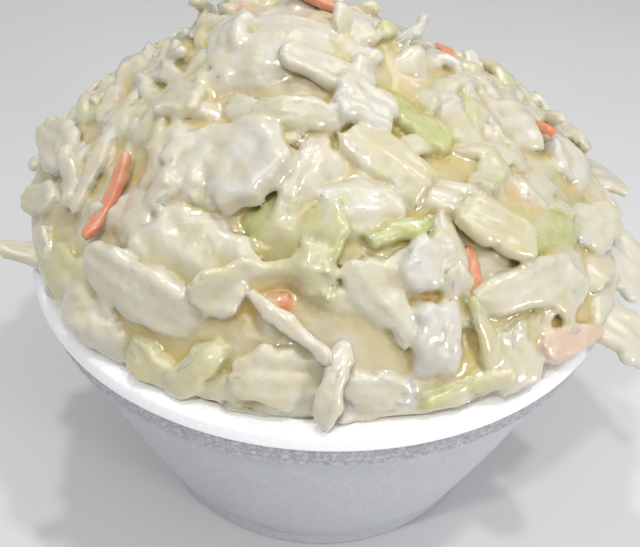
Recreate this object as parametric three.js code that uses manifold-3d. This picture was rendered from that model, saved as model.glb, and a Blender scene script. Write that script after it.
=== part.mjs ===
// Coleslaw heaped in a round expanded-polystyrene foam cup: two solids, the cup and the slaw.
// Millimetres, +Z up. The cup's axis is Z and its foot stands on z = 0. The photographed side is -Y.
import * as THREE from 'three';
import { mergeVertices } from 'three/addons/utils/BufferGeometryUtils.js';
import Module from 'manifold-3d';

const wasm = await Module();
wasm.setup();

// Driving dimensions of the cup.
const RIM_RADIUS = 58;
const RIM_WIDTH = 4.8;
const CUP_HEIGHT = 57;
const LIP_HEIGHT = 2.7;
const BAND_HEIGHT = 5.3;
const BAND_RADIUS = 57.2;
const BAND_TAPER = 0.7;
const SHOULDER_RADIUS = 54.9;
const FOOT_RADIUS = 38.4;
const FOOT_HEIGHT = 5;
const FOOT_FLARE = 1.4;
const FOOT_RING_INNER = 32;
const RECESS_DEPTH = 1.6;
const FLOOR_THICKNESS = 2.6;
const WALL_THICKNESS = 2.6;
const WALL_BOW = 0.7;
const EDGE_ROUND = 0.9;
const CREASE = 0.5;
const INNER_CORNER = 3.5;
const CUP_SEGMENTS = 56;
const WALL_STEPS = 3;
const ROUND_STEPS = 2;

// Clearances between the slaw and the cup's wall: of the core, and of shreds cut short at the rim.
const SLAW_GAP = 0.45;
const CUT_GAP = 0.32;

// Driving dimensions of the heap. Its dome starts a little below the rim.
const SKIRT_DEPTH = 1;
const HEAP_RADIUS = 58;
const SIDE_SPREAD = 3;
const SPREAD_TURN = -12;
const HEAP_HEIGHT = 39;
const HEAP_POWER = 1.7;
const HEAP_FULLNESS = 0.8;
const HEAP_LEAN = new THREE.Vector2(-4, 1);
const HEAP_SEGMENTS = 36;
const HEAP_RINGS = 9;
const RING_CROWDING = 0.85;
const SUNK_RINGS = 3;
const SUNK_TOP = 2;

// Low waves over the dome: how many round it, how fast they change outwards, and their share of the height.
const LUMP_HEIGHT = 0.9;
const LUMP_WAVES = [
  { around: 3, phase: 1.3, outward: 5, offset: 0.4, share: 1 },
  { around: 5, phase: -0.8, outward: 8, offset: 1.6, share: 1 },
  { around: 9, phase: 2.1, outward: 11, offset: 0, share: 0.7 },
];

// Clumps that the spoon left in the heap, and one hollow: place in plan, reach, and rise above the dome.
const CLUMPS = [
  { at: [-5, 3], reach: 18, rise: 4.4 },
  { at: [-28, 11], reach: 13, rise: 2.8 },
  { at: [43, 17], reach: 13, rise: 2.4 },
  { at: [54, 2], reach: 11, rise: 3.0 },
  { at: [-52, 4], reach: 11, rise: 2.8 },
  { at: [-30, -30], reach: 13, rise: 2.0 },
  { at: [8, -38], reach: 12, rise: 2.0 },
  { at: [-10, 42], reach: 14, rise: 2.5 },
  { at: [26, 40], reach: 11, rise: 2.0 },
  { at: [14, -6], reach: 8, rise: -1.5 },
];

// The scattered shreds that cover the heap between the pieces placed by hand.
const SCATTERED_PIECES = 66;
const GOLDEN_ANGLE = Math.PI * (3 - Math.sqrt(5));
const CLEAR_OF_PLACED = 5.2;
const PRESSED_IN = 1.0;
const SCATTERED_STEPS = 3;
const FIRST_SCATTERED_SEED = 100;
const KIND_CYCLE = ['strip', 'leaf', 'strip', 'leaf', 'chunk', 'strip', 'leaf', 'strip', 'carrot', 'leaf'];
const SCATTERED_SIZES = {
  leaf: { long: [12, 20], wide: [8, 13], dish: [0.3, 0.9] },
  strip: { long: [13, 26], wide: [4, 7], dish: [0, 0] },
  chunk: { long: [8, 12], wide: [7, 10], dish: [0, 0] },
  carrot: { long: [9, 16], wide: [2.4, 3.2], dish: [0, 0] },
};

const { degToRad, lerp } = THREE.MathUtils;

// Heights that follow from the driving dimensions.
const SHOULDER_Z = CUP_HEIGHT - LIP_HEIGHT - BAND_HEIGHT;
const LIP_Z = CUP_HEIGHT - LIP_HEIGHT;
const FLOOR_Z = RECESS_DEPTH + FLOOR_THICKNESS;
const HEAP_BASE = CUP_HEIGHT - SKIRT_DEPTH;
const MOUTH_RADIUS = RIM_RADIUS - RIM_WIDTH;

function draw(piece, trait) {
  // A repeatable draw from 0 to 1 for one piece and one of its traits.
  const s = Math.sin(piece * 127.1 + trait * 311.7 + 17.3) * 43758.5453;
  return s - Math.floor(s);
}

function spread(piece, trait, low, high) {
  return lerp(low, high, draw(piece, trait));
}

// Meshes and solids.

function weld(geometry) {
  // Shared vertices, no empty triangles, faces pointing out.
  geometry.deleteAttribute('normal');
  geometry.deleteAttribute('uv');
  const merged = mergeVertices(geometry, 1e-4);
  const old = merged.index.array;
  const kept = [];
  for (let i = 0; i < old.length; i += 3) {
    const [a, b, c] = [old[i], old[i + 1], old[i + 2]];
    if (a !== b && b !== c && c !== a) kept.push(a, b, c);
  }
  if (signedVolume(merged.attributes.position, kept) < 0) kept.reverse();
  merged.setIndex(kept);
  return merged;
}

function signedVolume(position, index) {
  const [a, b, c] = [new THREE.Vector3(), new THREE.Vector3(), new THREE.Vector3()];
  let total = 0;
  for (let i = 0; i < index.length; i += 3) {
    a.fromBufferAttribute(position, index[i]);
    b.fromBufferAttribute(position, index[i + 1]);
    c.fromBufferAttribute(position, index[i + 2]);
    total += a.dot(b.cross(c)) / 6;
  }
  return total;
}

function toSolid(geometry) {
  const welded = weld(geometry);
  return new wasm.Manifold(new wasm.Mesh({
    numProp: 3,
    vertProperties: new Float32Array(welded.attributes.position.array),
    triVerts: new Uint32Array(welded.index.array),
  }));
}

function toGeometry(solid) {
  const mesh = solid.getMesh();
  const geometry = new THREE.BufferGeometry();
  geometry.setAttribute('position', new THREE.BufferAttribute(mesh.vertProperties, 3));
  geometry.setIndex(new THREE.BufferAttribute(mesh.triVerts, 1));
  return geometry;
}

function lathe(profile, segments) {
  // Turns [radius, height] points about Z.
  const geometry = new THREE.LatheGeometry(profile.map(([r, z]) => new THREE.Vector2(r, z)), segments);
  return geometry.rotateX(Math.PI / 2);
}

// The cup.

function outerRadius(z) {
  // The wall between the foot and the shoulder: a cone with a slight outward bow.
  const t = (z - FOOT_HEIGHT) / (SHOULDER_Z - FOOT_HEIGHT);
  return lerp(FOOT_RADIUS + FOOT_FLARE, SHOULDER_RADIUS, t) + WALL_BOW * 4 * t * (1 - t);
}

function innerRadius(z) {
  // Parallel to the outer wall, then opening to the mouth behind the lid band.
  if (z <= SHOULDER_Z) return outerRadius(z) - WALL_THICKNESS;
  const t = (z - SHOULDER_Z) / (CUP_HEIGHT - SHOULDER_Z);
  return lerp(outerRadius(SHOULDER_Z) - WALL_THICKNESS, MOUTH_RADIUS, t);
}

function footProfile() {
  // From the axis under the floor, over the standing ring, to the crease above the foot.
  return [
    [0, RECESS_DEPTH],
    [FOOT_RING_INNER - RECESS_DEPTH, RECESS_DEPTH],
    [FOOT_RING_INNER, 0],
    [FOOT_RADIUS - EDGE_ROUND, 0],
    [FOOT_RADIUS, EDGE_ROUND],
    [FOOT_RADIUS + FOOT_FLARE - CREASE, FOOT_HEIGHT - CREASE],
  ];
}

function wallProfile(radius, low, high) {
  const points = [];
  for (let i = 0; i <= WALL_STEPS; i++) {
    const z = lerp(low, high, i / WALL_STEPS);
    points.push([radius(z), z]);
  }
  return points;
}

function rimProfile() {
  // The lid band, the plain lip that stands proud of it, and the flat rim.
  const points = [
    [BAND_RADIUS - BAND_TAPER, SHOULDER_Z + CREASE],
    [BAND_RADIUS, LIP_Z],
    [RIM_RADIUS, LIP_Z + CREASE],
  ];
  const centre = [RIM_RADIUS - EDGE_ROUND, CUP_HEIGHT - EDGE_ROUND];
  for (let i = 0; i <= ROUND_STEPS; i++) {
    const a = (i / ROUND_STEPS) * Math.PI / 2;
    points.push([centre[0] + EDGE_ROUND * Math.cos(a), centre[1] + EDGE_ROUND * Math.sin(a)]);
  }
  points.push([MOUTH_RADIUS + CREASE, CUP_HEIGHT], [MOUTH_RADIUS, CUP_HEIGHT - CREASE]);
  return points;
}

function floorProfile() {
  // The rounded corner inside the cup and its floor, back to the axis.
  const corner = innerRadius(FLOOR_Z + INNER_CORNER);
  const inset = INNER_CORNER * (1 - Math.SQRT1_2);
  return [
    [corner - inset, FLOOR_Z + inset],
    [corner - INNER_CORNER, FLOOR_Z],
    [0, FLOOR_Z],
  ];
}

function cupProfile() {
  return [
    ...footProfile(),
    ...wallProfile(outerRadius, FOOT_HEIGHT, SHOULDER_Z),
    ...rimProfile(),
    ...wallProfile(innerRadius, FLOOR_Z + INNER_CORNER, SHOULDER_Z).reverse(),
    ...floorProfile(),
  ];
}

function rimClearance() {
  // The cup's upper wall, grown by the clearance, to cut shreds that would touch it.
  const low = CUP_HEIGHT / 3;
  const grown = RIM_RADIUS + CUT_GAP;
  const points = [
    ...wallProfile((z) => innerRadius(z) - CUT_GAP, low, SHOULDER_Z),
    [MOUTH_RADIUS - CUT_GAP, CUP_HEIGHT - CREASE],
    [MOUTH_RADIUS, CUP_HEIGHT + CUT_GAP],
    [RIM_RADIUS - EDGE_ROUND + CUT_GAP / 2, CUP_HEIGHT + CUT_GAP],
    [grown, CUP_HEIGHT - EDGE_ROUND],
    [grown, low],
  ];
  return lathe([...points, points[0]], CUP_SEGMENTS);
}

// The heap: a core that fills the cup and rises to a dome, with shreds fused onto it.

function domeHeight(share) {
  // Height above the heap's base at a share of its radius.
  return HEAP_HEIGHT * Math.pow(Math.max(0, 1 - Math.pow(share, HEAP_POWER)), HEAP_FULLNESS);
}

function lumps(angle, share) {
  // The waves die out at the top and at the skirt.
  const swell = LUMP_WAVES.reduce((sum, wave) => sum + wave.share
    * Math.sin(wave.around * angle + wave.phase) * Math.sin(wave.outward * share + wave.offset), 0);
  return LUMP_HEIGHT * swell * Math.sin(Math.PI * Math.min(1, share));
}

function clumpRise(x, y) {
  // Each clump is flat on top and falls away quickly at its reach.
  return CLUMPS.reduce((sum, { at, reach, rise }) =>
    sum + rise * Math.exp(-Math.pow(Math.hypot(x - at[0], y - at[1]) / reach, 4)), 0);
}

function skirtRadius(angle) {
  // The heap is widest at its sides, where it hangs over the rim.
  return HEAP_RADIUS + SIDE_SPREAD * Math.cos(2 * (angle - degToRad(SPREAD_TURN)));
}

function heapPoint(angle, share) {
  // A point of the bare core's dome; the top leans towards HEAP_LEAN.
  const height = domeHeight(share);
  const lean = height / HEAP_HEIGHT;
  const radius = skirtRadius(angle) * share + 0.5 * lumps(angle, share);
  const x = radius * Math.cos(angle) + HEAP_LEAN.x * lean;
  const y = radius * Math.sin(angle) + HEAP_LEAN.y * lean;
  return new THREE.Vector3(x, y, HEAP_BASE + height + lumps(angle, share) + clumpRise(x, y));
}

function sunkRings() {
  // Radius and height of the core's rings inside the cup, from its floor up.
  const rings = [[innerRadius(FLOOR_Z + INNER_CORNER) - INNER_CORNER - SLAW_GAP, FLOOR_Z + SLAW_GAP]];
  for (let i = 0; i <= SUNK_RINGS; i++) {
    const z = lerp(FLOOR_Z + INNER_CORNER, CUP_HEIGHT - SUNK_TOP, i / SUNK_RINGS);
    rings.push([innerRadius(z) - SLAW_GAP, z]);
  }
  return rings;
}

function heapCore() {
  const points = [new THREE.Vector3(0, 0, FLOOR_Z + SLAW_GAP)];
  const sunk = sunkRings();
  const angleAt = (j) => (j / HEAP_SEGMENTS) * 2 * Math.PI;
  for (const [radius, z] of sunk) {
    for (let j = 0; j < HEAP_SEGMENTS; j++) {
      points.push(new THREE.Vector3(radius * Math.cos(angleAt(j)), radius * Math.sin(angleAt(j)), z));
    }
  }
  for (let i = 0; i < HEAP_RINGS; i++) {
    const share = Math.pow(1 - i / HEAP_RINGS, RING_CROWDING);
    for (let j = 0; j < HEAP_SEGMENTS; j++) points.push(heapPoint(angleAt(j), share));
  }
  points.push(heapPoint(0, 0));
  const lastRing = sunk.length + HEAP_RINGS - 1;
  const at = (i, j) => 1 + i * HEAP_SEGMENTS + (j % HEAP_SEGMENTS);
  const top = points.length - 1;
  const index = [];
  for (let j = 0; j < HEAP_SEGMENTS; j++) {
    index.push(0, at(0, j + 1), at(0, j));
    index.push(top, at(lastRing, j), at(lastRing, j + 1));
    for (let i = 0; i < lastRing; i++) {
      index.push(at(i, j), at(i, j + 1), at(i + 1, j + 1));
      index.push(at(i, j), at(i + 1, j + 1), at(i + 1, j));
    }
  }
  return new THREE.BufferGeometry().setFromPoints(points).setIndex(index);
}

function heapFrame(x, y) {
  // The core's surface point above (x, y) in plan, and the normal there. The lean moves each level sideways,
  // so the level's own centre is found by repeating the sum until it settles.
  const rounds = 12;
  let centre = new THREE.Vector2();
  let angle = 0;
  let share = 0;
  for (let i = 0; i < rounds; i++) {
    angle = Math.atan2(y - centre.y, x - centre.x);
    share = Math.min(1, Math.hypot(x - centre.x, y - centre.y) / skirtRadius(angle));
    centre = HEAP_LEAN.clone().multiplyScalar(domeHeight(share) / HEAP_HEIGHT);
  }
  const step = 0.04;
  const outer = Math.min(1, share + step);
  const along = heapPoint(angle, outer).sub(heapPoint(angle, Math.max(step / 2, outer - 2 * step)));
  const off = Math.max(share, 2 * step);
  const around = heapPoint(angle + step, off).sub(heapPoint(angle - step, off));
  return { point: heapPoint(angle, share), normal: along.cross(around).normalize() };
}

// One shred: a thin wavy slab, narrower and ragged at its ends. Both faces are split into triangles alike.
const END_NARROWING = 0.3;
const END_BULGE = 0.12;
const END_THINNING = 0.25;
const WAVE_LENGTHS = 2.6;

function slabFace(shape, seed, side) {
  // One face as a grid of points: side is 1 for the upper face and -1 for the lower one.
  const { long, wide, thick, steps, across, wave = 0, taper = 0, rag, edge } = shape;
  const points = [];
  for (let i = 0; i <= steps; i++) {
    const u = (2 * i) / steps - 1;
    for (let j = 0; j <= across; j++) {
      const v = (2 * j) / across - 1;
      const rim = i === 0 || j === 0 || i === steps || j === across;
      const width = wide * (1 - taper * (u + 1) / 2) * (1 - END_NARROWING * Math.pow(Math.abs(u), 3));
      const jag = rim ? rag * (draw(seed, 31 + i * 7 + j) - 0.5) : 0;
      const x = 0.5 * long * u * (1 - END_BULGE * v * v) + jag * Math.sign(u);
      const y = 0.5 * width * v + jag * Math.sign(v);
      const z = side * 0.5 * thick * (rim ? edge : 1 - END_THINNING * u * u);
      const swell = wave * Math.sin(WAVE_LENGTHS * u + 2 * Math.PI * draw(seed, 3));
      points.push(bend(shape, x, y, z + swell));
    }
  }
  return points;
}

function bend(shape, x, y, z) {
  // Rolled across by dish, twisted along its length, and curled along it by curl, all in radians.
  const { long, wide, curl = 0, dish = 0, twist = 0 } = shape;
  const rolled = onArc(y, z, dish, wide);
  const turn = (twist * 2 * x) / long;
  const side = rolled[0] * Math.cos(turn) - rolled[1] * Math.sin(turn);
  const height = rolled[0] * Math.sin(turn) + rolled[1] * Math.cos(turn);
  const [along, up] = onArc(x, height, curl, long);
  return [along, side, up];
}

function onArc(distance, height, halfAngle, length) {
  // Lays a straight distance along an arc whose middle is its highest point.
  if (halfAngle === 0) return [distance, height];
  const radius = length / (2 * halfAngle);
  const a = distance / radius;
  return [(radius + height) * Math.sin(a), (radius + height) * Math.cos(a) - radius];
}

function slab(shape, seed) {
  return closedSheet(slabFace(shape, seed, 1), slabFace(shape, seed, -1), shape.steps, shape.across);
}

function closedSheet(upper, lower, steps, across) {
  // Two like grids joined round their edge.
  const row = across + 1;
  const under = upper.length;
  const index = [];
  for (let i = 0; i < steps; i++) {
    for (let j = 0; j < across; j++) {
      const [a, b, c, d] = [i * row + j, (i + 1) * row + j, (i + 1) * row + j + 1, i * row + j + 1];
      index.push(a, b, c, a, c, d);
      index.push(under + a, under + c, under + b, under + a, under + d, under + c);
    }
  }
  const wall = (a, b) => index.push(a, b, under + b, a, under + b, under + a);
  for (let i = 0; i < steps; i++) {
    wall((i + 1) * row, i * row);
    wall(i * row + across, (i + 1) * row + across);
  }
  for (let j = 0; j < across; j++) {
    wall(j, j + 1);
    wall(steps * row + j + 1, steps * row + j);
  }
  const points = [...upper, ...lower].map((p) => new THREE.Vector3(...p));
  return new THREE.BufferGeometry().setFromPoints(points).setIndex(index);
}

const KINDS = {
  leaf: { thick: 1.9, steps: 4, across: 2, rag: 2.0, edge: 0.6 },
  strip: { thick: 2.2, steps: 4, across: 2, rag: 0.8, edge: 0.6 },
  chunk: { thick: 5.0, steps: 3, across: 2, rag: 1.4, edge: 0.7 },
  carrot: { thick: 1.7, steps: 4, across: 1, rag: 0.2, edge: 0.5 },
};

function place(shape, seed, { at, turn, lean = 0, roll = 0, lift = 0, z = null }) {
  // Laid on the core, or level at its own height where it hangs out over the rim.
  const { point, normal } = heapFrame(at[0], at[1]);
  if (z !== null) {
    point.set(at[0], at[1], z);
    normal.set(0, 0, 1);
  }
  const heading = new THREE.Vector3(Math.cos(degToRad(turn)), Math.sin(degToRad(turn)), 0);
  const forward = heading.addScaledVector(normal, -heading.dot(normal)).normalize();
  const side = new THREE.Vector3().crossVectors(normal, forward);
  const pose = new THREE.Matrix4().makeBasis(forward, side, normal)
    .multiply(new THREE.Matrix4().makeRotationY(-degToRad(lean)))
    .multiply(new THREE.Matrix4().makeRotationX(degToRad(roll)));
  const base = point.addScaledVector(normal, lift - PRESSED_IN);
  const home = new THREE.Matrix4().makeTranslation(base.x, base.y, base.z);
  return slab(shape, seed).applyMatrix4(home.multiply(pose));
}

// Pieces that stand out in the heap, placed by hand: place in plan, heading and size, in mm and degrees.
// lift is the height over the core before pressing in; lean raises the leading end and roll one long edge.
const PLACED = [
  { kind: 'leaf', at: [-20, -38], turn: -44, long: 20, wide: 15, dish: 0.4, lift: 2.2, lean: 6 },
  { kind: 'strip', at: [-28, -40], turn: -44, long: 24, wide: 9, curl: 0.5, lift: 3.0, lean: -6, roll: 12 },
  { kind: 'leaf', at: [-9, -42], turn: 7, long: 22, wide: 8, wave: 1.2, lift: 2.6, roll: 35 },
  { kind: 'leaf', at: [-4, -36], turn: -10, long: 15, wide: 13, dish: 0.6, lift: 2.0 },
  { kind: 'leaf', at: [-1, -41], turn: -80, long: 8, wide: 6, dish: 0.7, lift: 2.8 },
  { kind: 'chunk', at: [-13, -26], turn: -68, long: 15, wide: 13, lift: 2.6, lean: 12, taper: -0.2 },
  { kind: 'strip', at: [-5, -20], turn: -3, long: 15, wide: 5, curl: 0.4, lift: 3.2, roll: 20 },
  { kind: 'leaf', at: [-8, -10], turn: 10, long: 19, wide: 15, dish: 0.9, curl: 0.5, lift: 1.6 },
  { kind: 'leaf', at: [-26, -12], turn: -30, long: 14, wide: 10, dish: 0.5, lift: 1.8 },
  { kind: 'strip', at: [-10, -3], turn: -12, long: 20, wide: 5, curl: 0.7, lift: 1.8 },
  { kind: 'chunk', at: [5, -17], turn: -13, long: 11, wide: 9, lift: 1.8 },
  { kind: 'strip', at: [15, -15], turn: -44, long: 15, wide: 6, dish: 0.5, lift: 2.4, roll: -15 },
  { kind: 'leaf', at: [9, -26], turn: -35, long: 16, wide: 9, dish: 0.9, lift: 2.4, roll: 15 },
  { kind: 'strip', at: [19, -29], turn: -12, long: 22, wide: 6, curl: 0.6, wave: 0.8, lift: 2.6 },
  { kind: 'strip', at: [26, -31], turn: -20, long: 14, wide: 8, curl: 0.2, lift: 3.2, roll: -10 },
  { kind: 'leaf', at: [35, -27], turn: 22, long: 19, wide: 8, dish: 0.3, lift: 1.5 },
  { kind: 'leaf', at: [47, -18], turn: 40, long: 14, wide: 9, dish: 0.3, lift: 3.0, lean: 10 },
  { kind: 'leaf', at: [40, -10], turn: 40, long: 22, wide: 14, dish: 0.9, curl: 0.4, lift: 1.6 },
  { kind: 'leaf', at: [33, -5], turn: 45, long: 16, wide: 11, wave: 0.8, lift: 1.8 },
  { kind: 'strip', at: [35, -34], turn: 28, long: 29, wide: 7, curl: 0.6, lift: 2.4 },
  { kind: 'leaf', at: [39, -34], turn: -95, long: 9, wide: 7, dish: 0.5, lift: 2.8 },
  { kind: 'leaf', at: [53, -18], turn: -35, long: 18, wide: 13, curl: 0.4, z: 64.5, lean: -22, roll: 6 },
  { kind: 'leaf', at: [50, -33], turn: -38, long: 16, wide: 10, curl: 0.5, z: 60.5, lean: -18 },
  { kind: 'leaf', at: [54, 4], turn: 20, long: 16, wide: 12, curl: 0.4, z: 68, lean: -12 },
  { kind: 'strip', at: [40, -39], turn: 20, long: 14, wide: 6, lift: 2.2, taper: 0.5 },
  { kind: 'leaf', at: [30, -45], turn: -60, long: 10, wide: 8, lift: 1.6 },
  { kind: 'strip', at: [2, -53], turn: -118, long: 12, wide: 3.6, curl: 0.3, lift: 2.2 },
  { kind: 'strip', at: [9, -52], turn: -6, long: 11, wide: 5, curl: 0.5, lift: 1.6 },
  { kind: 'strip', at: [-26, -47], turn: -60, long: 10, wide: 5.5, curl: 0.4, lift: 1.8 },
  { kind: 'strip', at: [-19, -49], turn: -130, long: 12, wide: 5, curl: 0.4, lift: 2.0 },
  { kind: 'strip', at: [-50, -22], turn: 176, long: 18, wide: 6, curl: -0.4, z: 61, taper: 0.25, lean: 6 },
  { kind: 'leaf', at: [-55, 8], turn: 165, long: 16, wide: 12, curl: 0.4, z: 65.5, lean: -10 },
  { kind: 'leaf', at: [-49, -6], turn: 130, long: 18, wide: 9, lift: 2.6, lean: 4 },
  { kind: 'strip', at: [-52, -13], turn: 165, long: 11, wide: 6, lift: 2.0, lean: 10 },
  { kind: 'leaf', at: [9, -44], turn: -55, long: 15, wide: 9, dish: 0.9, lift: 2.0, taper: 0.4 },
  { kind: 'chunk', at: [16, -39], turn: 6, long: 9, wide: 8, lift: 1.2 },
  { kind: 'strip', at: [11, -36], turn: 26, long: 11, wide: 2.6, lift: 2.4 },
  { kind: 'leaf', at: [6, -34], turn: 5, long: 13, wide: 10, dish: 0.5, lift: 1.2 },
  { kind: 'leaf', at: [-5, -51], turn: 2, long: 17, wide: 8, wave: 0.7, lift: 1.6 },
  { kind: 'leaf', at: [-42, -33], turn: -55, long: 16, wide: 9, dish: 0.4, lift: 1.6 },
  { kind: 'strip', at: [12, 2], turn: 60, long: 10, wide: 2.2, lift: 3.0, lean: 60 },
  { kind: 'carrot', at: [-35, -26], turn: -130, long: 16, wide: 2.6, lift: 2.6, curl: -0.3 },
  { kind: 'carrot', at: [-3, 4], turn: -12, long: 16, wide: 3.0, lift: 3.0 },
  { kind: 'carrot', at: [38, -1], turn: -70, long: 9, wide: 3.2, lift: 3.2, lean: 25 },
  { kind: 'carrot', at: [23, -38], turn: -70, long: 10, wide: 2.6, lift: 1.0 },
];

function placedPieces() {
  return PLACED.map(({ kind, at, turn, lean, roll, lift, z, ...shape }, i) =>
    place({ ...KINDS[kind], ...shape }, i, { at, turn, lean, roll, lift, z }));
}

function scatteredShape(seed, kind) {
  const { long, wide, dish } = SCATTERED_SIZES[kind];
  return {
    ...KINDS[kind],
    steps: SCATTERED_STEPS,
    long: spread(seed, 1, ...long),
    wide: spread(seed, 2, ...wide),
    dish: spread(seed, 5, ...dish),
    curl: spread(seed, 4, 0.1, 0.8),
    wave: spread(seed, 6, 0, 0.9),
    twist: spread(seed, 7, -0.3, 0.3),
    taper: spread(seed, 8, 0, 0.4),
  };
}

function scatteredPlace(i) {
  // Golden-angle spacing over the dome's own surface area, so that the top is no denser than the skirt.
  const steepness = Math.pow((2 * HEAP_HEIGHT) / HEAP_RADIUS, 2);
  const share = (i + 0.5) / SCATTERED_PIECES;
  const area = 1 + share * (Math.pow(1 + steepness, 3 / 2) - 1);
  const radius = HEAP_RADIUS * Math.sqrt((Math.pow(area, 2 / 3) - 1) / steepness);
  return [radius * Math.cos(i * GOLDEN_ANGLE), radius * Math.sin(i * GOLDEN_ANGLE)];
}

function scatteredPieces() {
  const pieces = [];
  for (let i = 0; i < SCATTERED_PIECES; i++) {
    const at = scatteredPlace(i);
    if (PLACED.some((p) => Math.hypot(p.at[0] - at[0], p.at[1] - at[1]) < CLEAR_OF_PLACED)) continue;
    const seed = FIRST_SCATTERED_SEED + i;
    pieces.push(place(scatteredShape(seed, KIND_CYCLE[i % KIND_CYCLE.length]), seed, {
      at,
      turn: spread(seed, 9, 0, 360),
      lean: spread(seed, 10, -10, 16),
      roll: spread(seed, 11, -22, 22),
      lift: spread(seed, 12, 0.6, 2.4),
    }));
  }
  return pieces;
}

function slawSolid() {
  // The largest body alone: loose scraps and sealed hollows fall away with the rest.
  let solid = toSolid(heapCore());
  for (const piece of [...placedPieces(), ...scatteredPieces()]) solid = solid.add(toSolid(piece));
  solid = solid.subtract(toSolid(rimClearance()));
  return solid.decompose().reduce((a, b) => (a.volume() > b.volume() ? a : b));
}

const foam = new THREE.MeshStandardMaterial({ color: 0xe9eaee, roughness: 0.62, metalness: 0 });
const dressedCabbage = new THREE.MeshStandardMaterial({ color: 0xe6dfc0, roughness: 0.28, metalness: 0 });

const cup = new THREE.Mesh(weld(lathe(cupProfile(), CUP_SEGMENTS)), foam);
cup.name = 'cup';

const coleslaw = new THREE.Mesh(toGeometry(slawSolid()), dressedCabbage);
coleslaw.name = 'coleslaw';

const model = new THREE.Group();
model.add(cup, coleslaw);

export default model;
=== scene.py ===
# %% [markdown]
# Coleslaw heaped in a round foam cup.
#
# The frame holds two plain solids. This lesson dresses them: the cup becomes a smooth foam shell with an
# embossed lid band, and the heap several hundred cut pieces of cabbage and carrot under a coat of dressing.
# Lengths are written in millimetres and turned into metres by MM.

import math

import bpy
import numpy as np
from mathutils import Matrix, Vector, noise
from mathutils.kdtree import KDTree


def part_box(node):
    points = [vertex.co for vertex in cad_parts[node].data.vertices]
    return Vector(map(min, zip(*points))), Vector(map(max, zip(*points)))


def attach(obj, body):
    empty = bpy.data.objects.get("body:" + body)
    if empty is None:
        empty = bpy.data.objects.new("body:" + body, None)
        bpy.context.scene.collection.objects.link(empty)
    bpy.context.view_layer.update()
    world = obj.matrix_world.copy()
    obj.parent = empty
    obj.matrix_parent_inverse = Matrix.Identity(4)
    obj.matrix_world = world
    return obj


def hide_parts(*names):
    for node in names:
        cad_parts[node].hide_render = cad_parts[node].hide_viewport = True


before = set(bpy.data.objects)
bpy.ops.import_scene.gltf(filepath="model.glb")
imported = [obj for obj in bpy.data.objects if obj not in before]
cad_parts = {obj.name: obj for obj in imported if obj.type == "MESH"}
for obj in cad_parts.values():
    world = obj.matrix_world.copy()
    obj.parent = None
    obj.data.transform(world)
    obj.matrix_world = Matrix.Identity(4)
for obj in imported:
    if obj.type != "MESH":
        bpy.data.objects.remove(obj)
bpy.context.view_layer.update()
MM = 0.001
print("nodes in the frame:", len(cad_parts))

# %% [markdown]
# Blender's operators act on whatever is selected, so each step starts by clearing the selection. A finished
# piece has its place in its mesh, so that patterns that follow Object coordinates stay where they belong.

# %% Helpers for working with operators
def deselect():
    if bpy.context.object and bpy.context.object.mode != "OBJECT":
        bpy.ops.object.mode_set(mode="OBJECT")
    bpy.ops.object.select_all(action="DESELECT")


def make_active(piece):
    deselect()
    piece.select_set(True)
    bpy.context.view_layer.objects.active = piece


def apply_modifier(piece, name, kind, **settings):
    modifier = piece.modifiers.new(name, kind)
    for key, value in settings.items():
        setattr(modifier, key, value)
    make_active(piece)
    bpy.ops.object.modifier_apply(modifier=modifier.name)


def shade_smooth(piece):
    make_active(piece)
    bpy.ops.object.shade_smooth()


DOUBLES_WITHIN = 0.01


def make_outward(piece):
    # Doubles go first, so that the recalculated normals of a closed mesh all point out.
    make_active(piece)
    bpy.ops.object.mode_set(mode="EDIT")
    bpy.ops.mesh.select_all(action="SELECT")
    bpy.ops.mesh.remove_doubles(threshold=DOUBLES_WITHIN * MM)
    bpy.ops.mesh.normals_make_consistent(inside=False)
    bpy.ops.object.mode_set(mode="OBJECT")


def piece_from(name, points, edges, faces):
    mesh = bpy.data.meshes.new(name)
    mesh.from_pydata(np.asarray(points) * MM, edges, faces)
    piece = bpy.data.objects.new(name, mesh)
    bpy.context.scene.collection.objects.link(piece)
    return piece


def triangles(piece):
    return sum(len(p.vertices) - 2 for p in piece.data.polygons)


def lerp(low, high, t):
    return low + (high - low) * t


# %% [markdown]
# The picture looks down at 35 degrees from close by, a little rolled, and it is cropped off centre, which a
# small lens shift repeats. The focal length is that of a phone's main lens for a picture 640 wide.

# %% Camera
IMAGE_WIDTH = 640
IMAGE_CENTRE = (320, 273.5)
FOCAL_PIXELS = 800
AXIS_PIXEL = (326.1, 214.4)
CAMERA_PLACE = (0, -135.15, 151.82)
CAMERA_ELEVATION = 35.05
CAMERA_ROLL = 2.37
NEAREST_SEEN = 1

deselect()
bpy.ops.object.camera_add(location=[c * MM for c in CAMERA_PLACE])
camera = bpy.context.object
camera.name = "camera"
look_down = Matrix.Rotation(math.radians(90 - CAMERA_ELEVATION), 3, "X")
roll = Matrix.Rotation(math.radians(CAMERA_ROLL), 3, "Z")
camera.rotation_euler = (look_down @ roll).to_euler()
lens = camera.data
lens.lens = FOCAL_PIXELS / IMAGE_WIDTH * lens.sensor_width
lens.shift_x = (IMAGE_CENTRE[0] - AXIS_PIXEL[0]) / IMAGE_WIDTH
lens.shift_y = (AXIS_PIXEL[1] - IMAGE_CENTRE[1]) / IMAGE_WIDTH
lens.clip_start = NEAREST_SEEN * MM
bpy.context.scene.camera = camera
print("lens in mm:", round(lens.lens, 1), "shift:", round(lens.shift_x, 4), round(lens.shift_y, 4))

# %% [markdown]
# One large soft lamp overhead gives the gentle shading, three small ones give the sharp glints that wet
# dressing shows, and two at the right light the cup's wall and its rim. The floor is a thick slab with a
# rounded edge, larger than any view takes in.

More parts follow.
